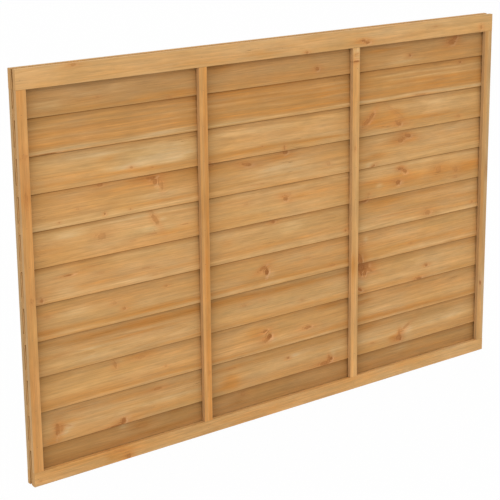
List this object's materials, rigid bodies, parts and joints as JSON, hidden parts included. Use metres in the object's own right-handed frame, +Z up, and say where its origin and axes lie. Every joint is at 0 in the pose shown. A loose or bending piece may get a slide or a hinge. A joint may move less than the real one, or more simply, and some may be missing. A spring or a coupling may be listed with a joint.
{
  "type": "overlap fence panel",
  "caption": "Timber overlap fence panel in bays: thin horizontal boards lapped down the face, held between a front and a back frame of rails, stiles and battens.",
  "frame": {"origin": "centre of the front left stile's outer edge, the flat face that stands against the left post", "axes": "+X along the panel from the left post to the right post, -Y out of the front face, on which the laps show, +Z up"},
  "size_m": [1.828, 0.0416, 1.219],
  "materials": {
    "rail_wood": "sawn softwood, dip-treated golden brown, dry and matt",
    "upright_wood": "sawn softwood, dip-treated orange brown, dry and matt",
    "board_wood": "thin sawn softwood boards, dip-treated golden brown, dry and matt, with knots"
  },
  "bodies": {
    "root": {"front_top_rail": "rail_wood", "front_bottom_rail": "rail_wood", "front_left_stile": "upright_wood", "front_right_stile": "upright_wood", "front_batten_1": "upright_wood", "front_batten_2": "upright_wood", "board_01": "board_wood", "board_02": "board_wood", "board_03": "board_wood", "board_04": "board_wood", "board_05": "board_wood", "board_06": "board_wood", "board_07": "board_wood", "board_08": "board_wood", "board_09": "board_wood", "board_10": "board_wood", "board_11": "board_wood", "back_top_rail": "rail_wood", "back_bottom_rail": "rail_wood", "back_left_stile": "upright_wood", "back_right_stile": "upright_wood", "back_batten_1": "upright_wood", "back_batten_2": "upright_wood"}
  },
  "joints": []
}
